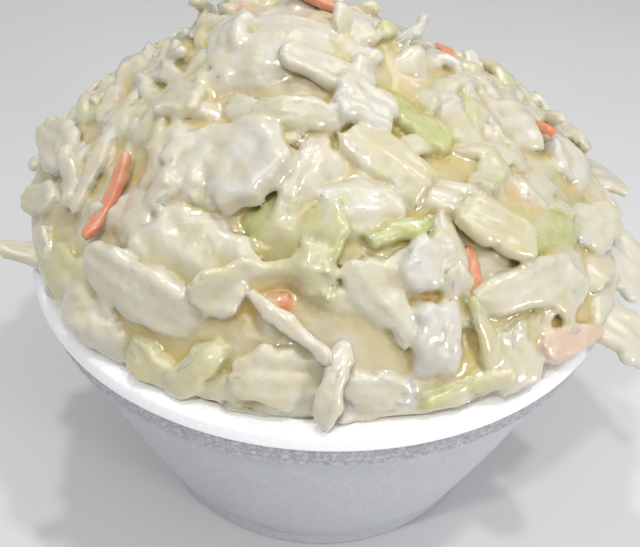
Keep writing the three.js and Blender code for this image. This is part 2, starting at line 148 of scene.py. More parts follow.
# %% Lights and floor
LAMPS = [
    ("soft_lamp", (60, -200, 600), 420, 0.5),
    ("back_glint_lamp", (-70, 130, 640), 32, 0.85),
    ("top_glint_lamp", (170, -90, 640), 32, 0.85),
    ("near_glint_lamp", (-150, -330, 580), 32, 0.95),
    ("side_lamp", (460, -360, 180), 110, 1.0),
    ("rim_lamp", (330, 120, 470), 160, 0.2),
]
LAMPS_AIM_AT = Vector((0, 0, 60)) * MM
FLOOR_WIDTH = 4000 * MM
FLOOR_DEPTH = 20 * MM

for lamp_name, place, width, watts in LAMPS:
    deselect()
    bpy.ops.object.light_add(type="AREA", location=[c * MM for c in place])
    lamp = bpy.context.object
    lamp.name = lamp_name
    lamp.data.size = width * MM
    lamp.data.energy = watts
    lamp.rotation_euler = (lamp.location - LAMPS_AIM_AT).to_track_quat("Z", "Y").to_euler()

deselect()
bpy.ops.mesh.primitive_cube_add(size=1, location=(0, 0, -FLOOR_DEPTH / 2))
floor = bpy.context.object
floor.name = "floor"
floor.scale = (FLOOR_WIDTH, FLOOR_WIDTH, FLOOR_DEPTH)
bpy.ops.object.transform_apply(location=True, rotation=True, scale=True)
apply_modifier(floor, "edge", "BEVEL", width=FLOOR_DEPTH / 4, segments=3)
print("lamps:", len(LAMPS), "floor width in m:", FLOOR_WIDTH)

# %% [markdown]
# Every finish here is built from nodes. These short helpers add a node, wire it, and turn the usual screen
# colours into the linear values that shaders use.

# %% Node helpers
def linear(red, green, blue):
    def channel(c):
        c = c / 255
        return c / 12.92 if c <= 0.04045 else ((c + 0.055) / 1.055) ** 2.4
    return (channel(red), channel(green), channel(blue), 1)


# Places of the sockets of a mix node for colours: its amount, both colours and its result.
AMOUNT, FIRST, SECOND, MIXED = 0, 6, 7, 2


class Nodes:
    def __init__(self, tree):
        self.tree = tree

    def add(self, kind, settings=None, **inputs):
        node = self.tree.nodes.new(kind)
        for key, value in (settings or {}).items():
            setattr(node, key, value)
        return self.feed(node, inputs)

    def feed(self, node, inputs):
        # Each key is the name of an input, or its place where names repeat.
        for key, value in inputs.items():
            socket = node.inputs[key]
            if isinstance(value, bpy.types.NodeSocket):
                self.tree.links.new(value, socket)
            else:
                socket.default_value = value
        return node

    def mix(self, amount, first, second):
        node = self.add("ShaderNodeMix", {"data_type": "RGBA"})
        return self.feed(node, {AMOUNT: amount, FIRST: first, SECOND: second}).outputs[MIXED]

    def math(self, operation, *values):
        node = self.add("ShaderNodeMath", {"operation": operation})
        return self.feed(node, dict(enumerate(values))).outputs[0]

    def ramp(self, value, low, high, end="From"):
        # Turns a range into 0 to 1, or with "To" as its end, 0 to 1 into a range.
        node = self.add("ShaderNodeMapRange", Value=value)
        return self.feed(node, {end + " Min": low, end + " Max": high}).outputs["Result"]

    def noise(self, where, per_mm, detail=2.0, roughness=0.5):
        inputs = {"Vector": where, "Scale": per_mm / MM, "Detail": detail, "Roughness": roughness}
        return self.add("ShaderNodeTexNoise", **inputs).outputs["Fac"]

    def bump(self, height, rise, strength):
        node = self.add("ShaderNodeBump", Height=height, Distance=rise * MM, Strength=strength)
        return node.outputs["Normal"]


def new_material(name):
    material = bpy.data.materials.new(name)
    material.use_nodes = True
    nodes = Nodes(material.node_tree)
    return material, nodes, material.node_tree.nodes["Principled BSDF"]


def give(piece, material):
    piece.data.materials.clear()
    piece.data.materials.append(material)


# %% [markdown]
# The floor is a matt white with a trace of unevenness, and a pale world fills the shadows.

# %% Floor finish
FLOOR_TONES = linear(206, 206, 207), linear(212, 212, 213)
FLOOR_PATCHES_PER_MM = 0.02
FLOOR_ROUGHNESS = 0.8
ROOM_STRENGTH = 0.42


def floor_finish():
    material, nodes, shader = new_material("floor_white")
    where = nodes.add("ShaderNodeTexCoord").outputs["Object"]
    patches = nodes.noise(where, FLOOR_PATCHES_PER_MM)
    nodes.feed(shader, {"Base Color": nodes.mix(patches, *FLOOR_TONES), "Roughness": FLOOR_ROUGHNESS})
    return material


give(floor, floor_finish())
world = bpy.data.worlds.new("pale_room")
bpy.context.scene.world = world
world.use_nodes = True
room_light = world.node_tree.nodes["Background"]
room_light.inputs["Color"].default_value = (1, 1, 1, 1)
room_light.inputs["Strength"].default_value = ROOM_STRENGTH
bpy.context.scene.view_settings.view_transform = "Standard"
print("room light:", ROOM_STRENGTH)

# %% [markdown]
# The cup is moulded from foam beads: a flat rim with a plain lip, a band with a fine diamond pattern that
# grips the lid, and a tapered wall down to a foot with a recess under it. Its profile is drawn once and
# spun round the axis. The frame's own cup gives the radius of the rim and the height.

# %% Cup sizes
cup_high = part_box("cup")[1]
RIM_RADIUS = cup_high.x / MM
CUP_HEIGHT = cup_high.z / MM
RIM_WIDTH = 4.8
LIP_HEIGHT = 2.7
BAND_HEIGHT = 5.3
BAND_RADIUS = 57.2
BAND_TAPER = 0.7
SHOULDER_RADIUS = 54.9
FOOT_RADIUS = 38.4
FOOT_HEIGHT = 5
FOOT_FLARE = 1.4
FOOT_RING_INNER = 32
RECESS_DEPTH = 1.6
FLOOR_THICKNESS = 2.6
WALL_THICKNESS = 2.6
WALL_BOW = 0.7
EDGE_ROUND = 0.9
CREASE = 0.5
INNER_CORNER = 3.5
SHOULDER_Z = CUP_HEIGHT - LIP_HEIGHT - BAND_HEIGHT
LIP_Z = CUP_HEIGHT - LIP_HEIGHT
FLOOR_Z = RECESS_DEPTH + FLOOR_THICKNESS
MOUTH_RADIUS = RIM_RADIUS - RIM_WIDTH
print("cup: rim radius", round(RIM_RADIUS, 2), "height", round(CUP_HEIGHT, 2))


def outer_radius(z):
    t = (z - FOOT_HEIGHT) / (SHOULDER_Z - FOOT_HEIGHT)
    return lerp(FOOT_RADIUS + FOOT_FLARE, SHOULDER_RADIUS, t) + WALL_BOW * 4 * t * (1 - t)


def inner_radius(z):
    wall = outer_radius(np.minimum(z, SHOULDER_Z)) - WALL_THICKNESS
    share = np.clip((z - SHOULDER_Z) / (CUP_HEIGHT - SHOULDER_Z), 0, 1)
    return lerp(wall, MOUTH_RADIUS, share)


# %% [markdown]
# Sharp corners would catch no light, so each is replaced by a short arc. The band gets enough rows of
# points to carry its pattern as real relief.

# %% Cup profile
CORNER_SHARE = 0.45


def rounded(corners, radius, steps=4):
    # Replaces each inner corner of an open outline by a small curve.
    points = [corners[0]]
    for before, corner, after in zip(corners, corners[1:], corners[2:]):
        before, corner, after = (np.array(p, float) for p in (before, corner, after))
        into, out = before - corner, after - corner
        reach = min(radius, CORNER_SHARE * np.linalg.norm(into), CORNER_SHARE * np.linalg.norm(out))
        start = corner + into / np.linalg.norm(into) * reach
        end = corner + out / np.linalg.norm(out) * reach
        for i in range(steps + 1):
            t = i / steps
            points.append(tuple((1 - t) ** 2 * start + 2 * t * (1 - t) * corner + t ** 2 * end))
    points.append(corners[-1])
    return points


BAND_ROWS = 16
LIP_SLOPE = 0.8
WALL_ROWS = 8
CREASE_DEPTH = 0.7
STEP_OUT = 0.8
STEP_ROUND = 0.4
STEP_ARC = 3
NUDGE = 0.1
MOUTH_DEPTH = 4


def rows(radius, low, high, count):
    heights = [lerp(low, high, i / count) for i in range(count + 1)]
    return [(radius(z), z) for z in heights]


def band_radius(z):
    return lerp(BAND_RADIUS - BAND_TAPER, BAND_RADIUS, (z - SHOULDER_Z) / BAND_HEIGHT)


def cup_profile():
    foot = rounded([
        (0, RECESS_DEPTH), (FOOT_RING_INNER - RECESS_DEPTH, RECESS_DEPTH), (FOOT_RING_INNER, 0),
        (FOOT_RADIUS, 0),
        (FOOT_RADIUS + FOOT_FLARE - CREASE_DEPTH, FOOT_HEIGHT - CREASE),
        (FOOT_RADIUS + FOOT_FLARE, FOOT_HEIGHT + CREASE),
    ], EDGE_ROUND)
    wall = rows(outer_radius, FOOT_HEIGHT + 2 * CREASE, SHOULDER_Z - 1, WALL_ROWS)
    shoulder = rounded([
        (outer_radius(SHOULDER_Z - STEP_OUT), SHOULDER_Z - STEP_OUT), (SHOULDER_RADIUS, SHOULDER_Z + NUDGE),
        (band_radius(SHOULDER_Z + 2 * NUDGE), SHOULDER_Z + 3 * NUDGE),
        (band_radius(SHOULDER_Z + STEP_OUT), SHOULDER_Z + STEP_OUT),
    ], STEP_ROUND, STEP_ARC)
    band = rows(band_radius, SHOULDER_Z + STEP_OUT + NUDGE, LIP_Z - 4 * NUDGE, BAND_ROWS)
    lip = rounded([
        (BAND_RADIUS, LIP_Z - 3 * NUDGE), (BAND_RADIUS, LIP_Z), (RIM_RADIUS, LIP_Z + NUDGE),
        (RIM_RADIUS - LIP_SLOPE, CUP_HEIGHT), (MOUTH_RADIUS, CUP_HEIGHT),
        (inner_radius(CUP_HEIGHT - MOUTH_DEPTH), CUP_HEIGHT - MOUTH_DEPTH),
    ], EDGE_ROUND)
    inside = rows(inner_radius, FLOOR_Z + INNER_CORNER, CUP_HEIGHT - MOUTH_DEPTH - 1, WALL_ROWS)[::-1]
    corner = inner_radius(FLOOR_Z + INNER_CORNER)
    bottom = rounded([inside[-1], (corner - INNER_CORNER / 2, FLOOR_Z), (0, FLOOR_Z)], INNER_CORNER)[1:]
    return foot + wall + shoulder + band + lip + inside + bottom


print("points in the profile:", len(cup_profile()))

# %% [markdown]
# The profile is a chain of edges. Spin turns it about the axis, doubles are merged where the ends meet, and
# then the points of the band are moved in and out by two crossing waves, which leaves small diamonds.

# %% Spin the cup and emboss its band
SPIN_STEPS = 560
DIAMONDS_ROUND = 140
DIAMOND_HEIGHT = 1.5
DIAMOND_RELIEF = 0.2


def chain(name, profile):
    points = [(radius, 0, z) for radius, z in profile]
    return piece_from(name, points, [(i, i + 1) for i in range(len(points) - 1)], [])


def spin(piece, steps):
    make_active(piece)
    bpy.ops.object.mode_set(mode="EDIT")
    bpy.ops.mesh.select_all(action="SELECT")
    bpy.ops.mesh.spin(steps=steps, angle=2 * math.pi, center=(0, 0, 0), axis=(0, 0, 1))
    bpy.ops.object.mode_set(mode="OBJECT")


def triples(items, key):
    values = np.empty(len(items) * 3)
    items.foreach_get(key, values)
    return values.reshape(-1, 3)


def points_of(piece):
    return triples(piece.data.vertices, "co") / MM


def set_points(piece, points):
    piece.data.vertices.foreach_set("co", (points * MM).ravel())
    piece.data.update()


def emboss_band(points):
    radius = np.hypot(points[:, 0], points[:, 1])
    angle = np.arctan2(points[:, 1], points[:, 0])
    height = points[:, 2]
    inside_band = (height > SHOULDER_Z + STEP_OUT) & (height < LIP_Z - 3 * NUDGE)
    inside_band &= radius > SHOULDER_RADIUS
    across = DIAMONDS_ROUND * angle
    up = 2 * math.pi * height / DIAMOND_HEIGHT
    diamonds = np.cos((across + up) / 2) * np.cos((across - up) / 2)
    change = np.where(inside_band, DIAMOND_RELIEF * diamonds, 0)
    points[:, :2] *= ((radius + change) / np.maximum(radius, 1e-6))[:, None]
    return points


cup = chain("foam_cup", cup_profile())
spin(cup, SPIN_STEPS)
make_outward(cup)
set_points(cup, emboss_band(points_of(cup)))
shade_smooth(cup)
print("cup triangles:", triangles(cup))

# %% [markdown]
# Foam is white, but each bead has a slightly different tone and the joints between beads are fine grooves. A
# cell pattern a millimetre and a half across does both, faint enough to be seen only from close by. The same
# foam is painted as a lit and a shaded copy: the rim is painted lighter as painted light, the wall darker as
# painted shade, and the band darker still as painted shade, darkest in its speckled pits.

# %% Foam finish
BEADS_PER_MM = 0.7
JOINT_WIDTH = 0.09
# The wall's bead tones and joint are the foam painted darker as painted shade; the rim's joint and white are
# the same foam painted lighter as painted light.
BEAD_TONES_IN_PAINTED_SHADE = linear(194, 197, 203), linear(202, 204, 210)
JOINT_IN_PAINTED_SHADE = linear(192, 194, 199)
RIM_JOINT_IN_PAINTED_LIGHT, RIM_WHITE_IN_PAINTED_LIGHT = linear(246, 248, 251), linear(251, 252, 254)
# The band's white and its pits are painted darker still: painted shade beneath the lip and in the pits of its
# pattern.
BAND_PIT_SHADE, BAND_WHITE_IN_PAINTED_SHADE = linear(160, 162, 167), linear(196, 198, 203)
GRAIN_PER_MM = 1.6
FOAM_BUMP = 0.08
FOAM_BUMP_STRENGTH = 0.4
BAND_FADES_IN = 0.2, 0.7
BAND_FADES_OUT = 0.1, 0.4
PIT_RANGE = 0.35, 0.65
FOAM_ROUGHNESS = 0.42, 0.6
FOAM_GLOW = 0.15


def foam_finish():
    material, nodes, shader = new_material("foam")
    where = nodes.add("ShaderNodeTexCoord").outputs["Object"]
    cells = {"Vector": where, "Scale": BEADS_PER_MM / MM}
    beads = nodes.add("ShaderNodeTexVoronoi", {"feature": "DISTANCE_TO_EDGE"}, **cells)
    tone = nodes.add("ShaderNodeTexVoronoi", {"feature": "F1"}, **cells)
    joint = nodes.ramp(beads.outputs["Distance"], 0.0, JOINT_WIDTH)
    shade = nodes.add("ShaderNodeSeparateColor", Color=tone.outputs["Color"]).outputs["Red"]
    # The wall is the foam in painted shade, and the rim below is the same foam in painted light.
    wall = nodes.mix(joint, JOINT_IN_PAINTED_SHADE, nodes.mix(shade, *BEAD_TONES_IN_PAINTED_SHADE))
    up = nodes.add("ShaderNodeSeparateXYZ", Vector=where).outputs["Z"]
    above = nodes.ramp(up, *((SHOULDER_Z + rise) * MM for rise in BAND_FADES_IN))
    below = nodes.ramp(up, *((LIP_Z - drop) * MM for drop in BAND_FADES_OUT))
    colour = nodes.mix(below, nodes.mix(joint, RIM_JOINT_IN_PAINTED_LIGHT, RIM_WHITE_IN_PAINTED_LIGHT), wall)
    # The band gets painted shade, darker still in speckled pits.
    pit_shade = nodes.ramp(nodes.noise(where, GRAIN_PER_MM), *PIT_RANGE)
    shaded_band = nodes.mix(pit_shade, BAND_PIT_SHADE, BAND_WHITE_IN_PAINTED_SHADE)
    grain = nodes.noise(where, GRAIN_PER_MM, 3.0)
    height = nodes.math("MULTIPLY_ADD", grain, 0.5, joint)
    nodes.feed(shader, {
        "Base Color": nodes.mix(nodes.math("MULTIPLY", above, below), colour, shaded_band),
        "Roughness": nodes.ramp(grain, *FOAM_ROUGHNESS, "To"),
        "Normal": nodes.bump(height, FOAM_BUMP, FOAM_BUMP_STRENGTH),
        "Subsurface Weight": FOAM_GLOW,
        "Subsurface Scale": MM,
        "Subsurface Radius": (1, 1, 1),
    })
    return material


give(cup, foam_finish())
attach(cup, "root")
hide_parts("cup")
print("foam nodes:", len(cup.active_material.node_tree.nodes))

# %% [markdown]
# The heap's bare form is a dome that leans a little, is wider at its sides, and has low waves and a few
# clumps left by the spoon. One function gives any point of it, so all that is laid on it agrees.

# %% Heap form
HEAP_BASE = CUP_HEIGHT - 1
HEAP_RADIUS = 58
SIDE_SPREAD = 3
SPREAD_TURN = -12
HEAP_HEIGHT = 39
HEAP_POWER = 1.7
HEAP_FULLNESS = 0.8
HEAP_LEAN = (-4, 1)
SLAW_GAP = 0.45
LUMP_HEIGHT = 0.9
LUMP_BULGE = 0.5
CLUMP_STEEPNESS = 4
LUMP_WAVES = [(3, 1.3, 5, 0.4, 1), (5, -0.8, 8, 1.6, 1), (9, 2.1, 11, 0, 0.7)]
CLUMPS = [
    ((-5, 3), 18, 4.4), ((-28, 11), 13, 2.8), ((43, 17), 13, 2.4), ((54, 2), 11, 3.0),
    ((-52, 4), 11, 2.8), ((-30, -30), 13, 2.0), ((8, -38), 12, 2.0), ((-10, 42), 14, 2.5),
    ((26, 40), 11, 2.0), ((14, -6), 8, -1.5),
]


def dome_height(share):
    return HEAP_HEIGHT * np.maximum(0, 1 - share ** HEAP_POWER) ** HEAP_FULLNESS


def lumps(angle, share):
    swell = 0
    for around, phase, outward, offset, weight in LUMP_WAVES:
        swell = swell + weight * np.sin(around * angle + phase) * np.sin(outward * share + offset)
    return LUMP_HEIGHT * swell * np.sin(np.pi * np.minimum(1, share))


def clump_rise(x, y):
    return sum(rise * np.exp(-(np.hypot(x - at[0], y - at[1]) / reach) ** CLUMP_STEEPNESS)
               for at, reach, rise in CLUMPS)


def skirt_radius(angle):
    return HEAP_RADIUS + SIDE_SPREAD * np.cos(2 * (angle - math.radians(SPREAD_TURN)))


def heap_point(angle, share):
    height = dome_height(share)
    lean = height / HEAP_HEIGHT
    radius = skirt_radius(angle) * share + LUMP_BULGE * lumps(angle, share)
    x = radius * np.cos(angle) + HEAP_LEAN[0] * lean
    y = radius * np.sin(angle) + HEAP_LEAN[1] * lean
    return np.stack([x, y, HEAP_BASE + height + lumps(angle, share) + clump_rise(x, y)], -1)


ROUNDS_TO_SETTLE = 12
STEP = 0.04


def heap_frame(x, y):
    # The surface point above a place in plan and the normal there.
    centre = np.zeros(2)
    for _ in range(ROUNDS_TO_SETTLE):
        angle = math.atan2(y - centre[1], x - centre[0])
        share = min(1, math.hypot(x - centre[0], y - centre[1]) / skirt_radius(angle))
        centre = np.array(HEAP_LEAN) * dome_height(share) / HEAP_HEIGHT
    outer = min(1, share + STEP)
    along = heap_point(angle, outer) - heap_point(angle, max(STEP / 2, outer - 2 * STEP))
    off = max(share, 2 * STEP)
    around = heap_point(angle + STEP, off) - heap_point(angle - STEP, off)
    normal = np.cross(along, around)
    return heap_point(angle, share), normal / np.linalg.norm(normal)


print("top of the bare heap in mm:", heap_point(0.0, 0.0).round(1))

# %% [markdown]
# No two shreds are alike. A hash of a piece's number and a trait gives a draw that is the same in every
# run, and three waves with blunt corners give the uneven lines of torn and chopped leaf.

# %% Draws and uneven lines
TRAITS = {
    "long": 1, "wide": 2, "thick": 3, "curl": 4, "dish": 5, "wave": 6, "twist": 7, "taper": 8, "turn": 9,
    "lean": 10, "roll": 11, "lift": 12, "swell": 3, "carrot": 20, "carrot patches": 21, "tint": 22,
    "run": 23, "patches": 24, "green": 30, "ends": 40, "left side": 50, "right side": 60, "across": 70,
    "ribs": 75, "faces": 80, "lap": 90,
}
PIECE_STEP, TRAIT_STEP, OFFSET, SCRAMBLE = 127.1, 311.7, 17.3, 43758.5453
LOBES = 3
LOBE_RATE = 1.5
LOBE_FADE = 0.7
ANGULAR = 0.98
RIPPLE_SIZE = 1.8


def hashed(piece, number):
    # A repeatable draw from 0 to 1 for one piece and one of its traits.
    s = math.sin(piece * PIECE_STEP + number * TRAIT_STEP + OFFSET) * SCRAMBLE
    return s - math.floor(s)


def draw(piece, trait):
    return hashed(piece, TRAITS[trait])


def spread(piece, trait, low, high):
    return lerp(low, high, draw(piece, trait))


def drawn(piece, ranges):
    return {trait: spread(piece, trait, *ranges[trait]) for trait in ranges}


def ripple(seed, trait, t, side=0):
    # An uneven line with blunt corners, about -1 to 1, for outlines and faces.
    total = 0
    for k in range(1, LOBES + 1):
        wave = np.sin(k * LOBE_RATE * t + 2 * math.pi * hashed(seed, TRAITS[trait] + side + k))
        total = total + 2 / math.pi * np.arcsin(ANGULAR * wave) / k ** LOBE_FADE
    return total / RIPPLE_SIZE


print("first draw:", round(draw(0, "long"), 3))

# %% [markdown]
# A shred is a slab: a grid of points for its upper face and a like one for its lower face, joined round the
# edge. Its outline is ragged, its edge is rounded, and it is rolled, twisted and curled like a cut leaf. The
# grid is crowded towards the edges, so that few faces still give a round edge.

# %% Shape of one shred
CROWDING = 0.65
END_NARROWING = 0.3
END_BULGE = 0.12
WAVE_LENGTHS = 2.6
EDGE_POWER = 5
EDGE_THICKNESS = 0.7
LEAST_WAVE = 0.3
CROSS_WAVE = 0.35
UNEVEN_FACE = 0.16
RIB_HEIGHT = 0.2
RIBS_ACROSS = 3
RIBBED_GRID = 10


def on_arc(distance, height, half_angle, length):
    if abs(half_angle) < 1e-6:
        return distance, height
    radius = length / (2 * half_angle)
    a = distance / radius
    return (radius + height) * np.sin(a), (radius + height) * np.cos(a) - radius


def shred_points(shape, seed):
    steps, across = shape["steps"], shape["across"]
    long, wide, thick, rag = shape["long"], shape["wide"], shape["thick"], shape["rag"]
    s = np.linspace(-1, 1, steps + 1)[:, None] * np.ones((1, across + 1))
    t = np.linspace(-1, 1, across + 1)[None, :] * np.ones((steps + 1, 1))
    u, v = ((1 - CROWDING) * g + CROWDING * np.sin(g * math.pi / 2) for g in (s, t))
    width = wide * (1 - shape["taper"] * (u + 1) / 2) * (1 - END_NARROWING * np.abs(u) ** 3)
    end_rag = ripple(seed, "ends", 2 * v) * np.abs(u) ** 2 * np.sign(u)
    x = 0.5 * long * u * (1 - END_BULGE * v ** 2) + 0.5 * rag * end_rag
    side_rag = np.where(v > 0, ripple(seed, "left side", 3 * u), ripple(seed, "right side", 3 * u)) * v ** 2
    y = 0.5 * width * v + 0.5 * rag * side_rag
    inward = ((1 - np.abs(u) ** EDGE_POWER) * (1 - np.abs(v) ** EDGE_POWER)).clip(0, 1) ** 0.5
    edge = lerp(EDGE_THICKNESS, 1, inward)
    long_wave = np.sin(WAVE_LENGTHS * u + 2 * math.pi * draw(seed, "swell"))
    cross_wave = CROSS_WAVE * ripple(seed, "across", 2.5 * v + u)
    swell = (LEAST_WAVE + shape["wave"]) * (long_wave + cross_wave)
    if across >= RIBBED_GRID:
        swell = swell + RIB_HEIGHT * np.cos(RIBS_ACROSS * math.pi * v + ripple(seed, "ribs", 2 * u))
    faces = []
    for side in (1, -1):
        uneven = 1 + UNEVEN_FACE * ripple(seed, "faces", 4 * u + 3 * v, side)
        z = side * 0.5 * thick * edge * uneven + swell
        rolled, lifted = on_arc(y, z, shape["dish"], wide)
        turn = shape["twist"] * 2 * x / long
        width_way = rolled * np.cos(turn) - lifted * np.sin(turn)
        height = rolled * np.sin(turn) + lifted * np.cos(turn)
        along, up = on_arc(x, height, shape["curl"], long)
        faces.append(np.stack([along, width_way, up], -1).reshape(-1, 3))
    return np.concatenate(faces), np.stack([u, v], -1).reshape(-1, 2)


def shred_faces(steps, across):
    row = across + 1
    under = (steps + 1) * row
    a = (np.arange(steps)[:, None] * row + np.arange(across)[None, :]).ravel()
    quads = [np.stack([a, a + row, a + row + 1, a + 1], 1)]
    quads.append(under + quads[0][:, ::-1])
    i, j = np.arange(steps), np.arange(across)
    for p, q in (
        ((i + 1) * row, i * row), (i * row + across, (i + 1) * row + across),
        (j, j + 1), (steps * row + j + 1, steps * row + j),
    ):
        quads.append(np.stack([p, q, under + q, under + p], 1))
    return np.concatenate(quads)


print("quads of a small shred:", len(shred_faces(4, 3)))

# %% [markdown]
# A shred is laid on the heap by its place in plan and its heading. The surface normal tips it to the slope,
# and lean and roll tip it more. A piece with a height of its own starts level, to hang out over the rim.

# %% Lay one shred
PRESSED_IN = 1.0


def turned(axis, degrees):
    return np.array(Matrix.Rotation(math.radians(degrees), 3, axis))


def lay(points, at, turn, lean=0, roll=0, lift=0, z=None):
    base, normal = heap_frame(*at)
    if z is not None:
        base, normal = np.array([at[0], at[1], z], float), np.array([0, 0, 1.0])
    heading = np.array([math.cos(math.radians(turn)), math.sin(math.radians(turn)), 0])
    forward = heading - heading.dot(normal) * normal
    forward /= np.linalg.norm(forward)
    pose = np.stack([forward, np.cross(normal, forward), normal], 1) @ turned("Y", -lean) @ turned("X", roll)
    return points @ pose.T + base + normal * (lift - PRESSED_IN)


print("pressed in by", PRESSED_IN, "mm")

# %% [markdown]
# Cabbage comes in a few cuts: thin leaf, long shreds, thick stalk chunks and small bits, and carrot as fine
# sticks. Each cut has its own thickness and raggedness. The pieces that stand out in the heap are listed one
# by one, in millimetres and degrees: each row says the cut, the place in plan, the heading, the length and
# the width, and then what else that piece has. Those with a z of their own hang over the rim.

# %% Pieces listed one by one
PLAIN = {"curl": 0, "dish": 0, "twist": 0, "wave": 0, "taper": 0}
KINDS = {
    "leaf": {**PLAIN, "thick": 1.4, "rag": 2.9},
    "strip": {**PLAIN, "thick": 1.9, "rag": 1.3},
    "chunk": {**PLAIN, "thick": 4.6, "rag": 1.8},
    "carrot": {**PLAIN, "thick": 1.7, "rag": 0.2},
}


def put(kind, at, turn, long, wide, **more):
    return dict(kind=kind, at=at, turn=turn, long=long, wide=wide, **more)


PLACED = [
    put("leaf", (-20, -38), -44, 20, 15, dish=0.4, lift=2.2, lean=6),
    put("strip", (-28, -40), -44, 24, 9, curl=0.5, lift=3.0, lean=-6, roll=12),
    put("leaf", (-9, -42), 7, 22, 8, wave=1.2, lift=2.6, roll=35),
    put("leaf", (-4, -36), -10, 15, 13, dish=0.6, lift=2.0),
    put("leaf", (-1, -41), -80, 8, 6, dish=0.7, lift=2.8),
    put("chunk", (-13, -26), -68, 15, 13, lift=2.6, lean=12, taper=-0.2),
    put("strip", (-5, -20), -3, 15, 5, curl=0.4, lift=3.2, roll=20),
    put("leaf", (-8, -10), 10, 19, 15, dish=0.9, curl=0.5, lift=1.6),
    put("leaf", (-26, -12), -30, 14, 10, dish=0.5, lift=1.8),
    put("strip", (-10, -3), -12, 20, 5, curl=0.7, lift=1.8),
    put("chunk", (5, -17), -13, 11, 9, lift=1.8),
    put("strip", (15, -15), -44, 15, 6, dish=0.5, lift=2.4, roll=-15),
    put("leaf", (9, -26), -35, 16, 9, dish=0.9, lift=2.4, roll=15),
    put("strip", (19, -29), -12, 22, 6, curl=0.6, wave=0.8, lift=2.6),
    put("strip", (26, -31), -20, 14, 8, curl=0.2, lift=3.2, roll=-10),
    put("leaf", (35, -27), 22, 19, 8, dish=0.3, lift=1.5),
    put("leaf", (47, -18), 40, 14, 9, dish=0.3, lift=3.0, lean=10),
    put("leaf", (40, -10), 40, 22, 14, dish=0.9, curl=0.4, lift=1.6),
    put("leaf", (33, -5), 45, 16, 11, wave=0.8, lift=1.8),
    put("strip", (35, -34), 28, 29, 7, curl=0.6, lift=2.4),
    put("leaf", (39, -34), -95, 9, 7, dish=0.5, lift=2.8),
    put("leaf", (53, -18), -35, 18, 13, curl=0.4, z=64.5, lean=-22, roll=6),
    put("leaf", (50, -33), -38, 16, 10, curl=0.5, z=60.5, lean=-18),
    put("leaf", (54, 4), 20, 16, 12, curl=0.4, z=68, lean=-12),
    put("strip", (40, -39), 20, 14, 6, lift=2.2, taper=0.5),
    put("leaf", (30, -45), -60, 10, 8, lift=1.6),
    put("strip", (2, -53), -108, 13, 3.6, curl=0.3, z=64.5, lean=-50),
    put("strip", (9, -52), -6, 11, 5, curl=0.5, lift=1.6),
    put("strip", (-26, -47), -60, 10, 5.5, curl=0.4, lift=1.8),
    put("strip", (-19, -49), -130, 12, 5, curl=0.4, lift=2.0),
    put("strip", (-50, -22), 176, 18, 6, curl=-0.4, z=61, taper=0.25, lean=6),
    put("leaf", (-55, 8), 165, 16, 12, curl=0.4, z=65.5, lean=-10),
    put("leaf", (-49, -6), 130, 18, 9, lift=2.6, lean=4),
    put("strip", (-52, -13), 165, 11, 6, lift=2.0, lean=10),
    put("leaf", (9, -44), -55, 15, 9, dish=0.9, lift=2.0, taper=0.4),
    put("chunk", (16, -39), 6, 9, 8, lift=1.2),
    put("strip", (11, -36), 26, 11, 2.6, lift=2.4),
    put("leaf", (6, -34), 5, 13, 10, dish=0.5, lift=1.2),
    put("leaf", (-5, -51), 2, 17, 8, wave=0.7, lift=1.6),
    put("leaf", (-42, -33), -55, 16, 9, dish=0.4, lift=1.6),
    put("strip", (12, 2), 60, 10, 2.2, lift=3.0, lean=60),
    put("carrot", (-35, -26), -130, 16, 2.6, lift=2.6, curl=-0.3),
    put("carrot", (-3, 4), -12, 16, 3.0, lift=3.0),
    put("carrot", (38, -1), -70, 9, 3.2, lift=3.2, lean=25),
    put("carrot", (23, -38), -70, 10, 2.6, lift=1.0),
]
print("placed by hand:", len(PLACED), "of which hang over the rim:", sum("z" in p for p in PLACED))

# %% [markdown]
# Each piece has its own tint, stored on its points. Cabbage runs from white near the rib to pale green at
# the leaf's edge, so a piece starts somewhere on that range and moves along it from one end to the other.

# %% Tints
def rgb(red, green, blue):
    return np.array(linear(red, green, blue)[:3])


RIB_WHITE = rgb(205, 205, 201)
LEAF_CREAM = rgb(204, 202, 188)
LEAF_YELLOW = rgb(200, 196, 158)
LEAF_GREEN = rgb(184, 191, 126)
DEEP_GREEN = rgb(154, 170, 80)
BLUSH = rgb(213, 185, 171)
CARROT = rgb(230, 144, 112)
CARROT_DEEP = rgb(214, 106, 72)
CREAM = rgb(206, 197, 171)
CABBAGE_RANGE = np.array([RIB_WHITE, RIB_WHITE, LEAF_CREAM, LEAF_YELLOW, LEAF_GREEN, DEEP_GREEN])
ALMOST_ONE = 0.999
BLUSHING_PIECE = 24
CARROT_LEAST = 0.25
CARROT_RANGE = 0.5
CARROT_UNEVEN = 0.2
TINT_START = {"chunk": 0.05, "strip": 0.2, "leaf": 0.3, "bit": 0.15}
TINT_SPREAD = 0.25
TINT_RUN = 0.22
TINT_UNEVEN = 0.08
GREEN_EDGE = 0.1


def cabbage_tint(t):
    t = np.clip(t, 0, ALMOST_ONE) * (len(CABBAGE_RANGE) - 1)
    low = t.astype(int)
    return CABBAGE_RANGE[low] + (CABBAGE_RANGE[low + 1] - CABBAGE_RANGE[low]) * (t - low)[:, None]


